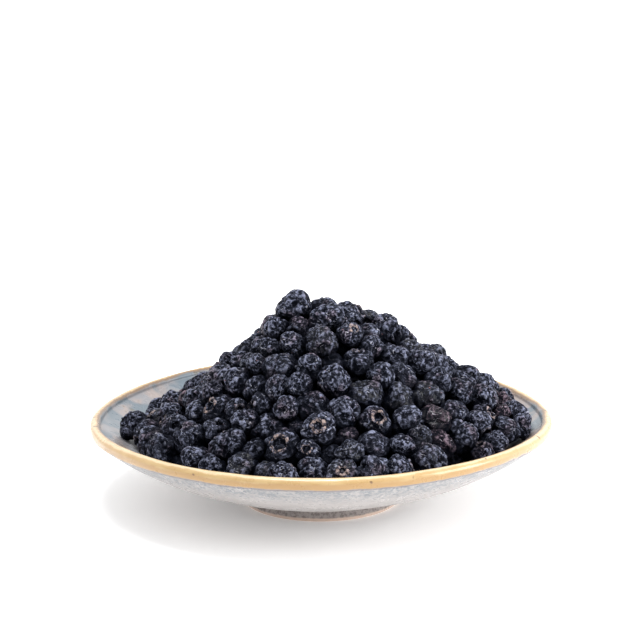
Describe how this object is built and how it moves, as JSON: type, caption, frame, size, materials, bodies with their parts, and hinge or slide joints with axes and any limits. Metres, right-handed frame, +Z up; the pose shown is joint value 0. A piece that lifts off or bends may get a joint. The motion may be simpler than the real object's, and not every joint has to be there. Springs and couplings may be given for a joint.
{
  "type": "bowl of freeze-dried blueberries",
  "caption": "Shallow footed stoneware dish with a rolled rim, heaped to a blunt cone with wrinkled freeze-dried blueberries.",
  "frame": {"origin": "middle of the dish's outline, on the surface that its foot ring stands on", "axes": "+Z up; -Y towards the viewer of the picture; +X to the viewer's right, along the dish's slightly longer side"},
  "size_m": [0.1606, 0.1593, 0.0722],
  "materials": {
    "glaze": "satin",
    "berry_skin": "matte"
  },
  "bodies": {
    "root": {"dish": "glaze", "berries": "berry_skin"}
  },
  "joints": []
}
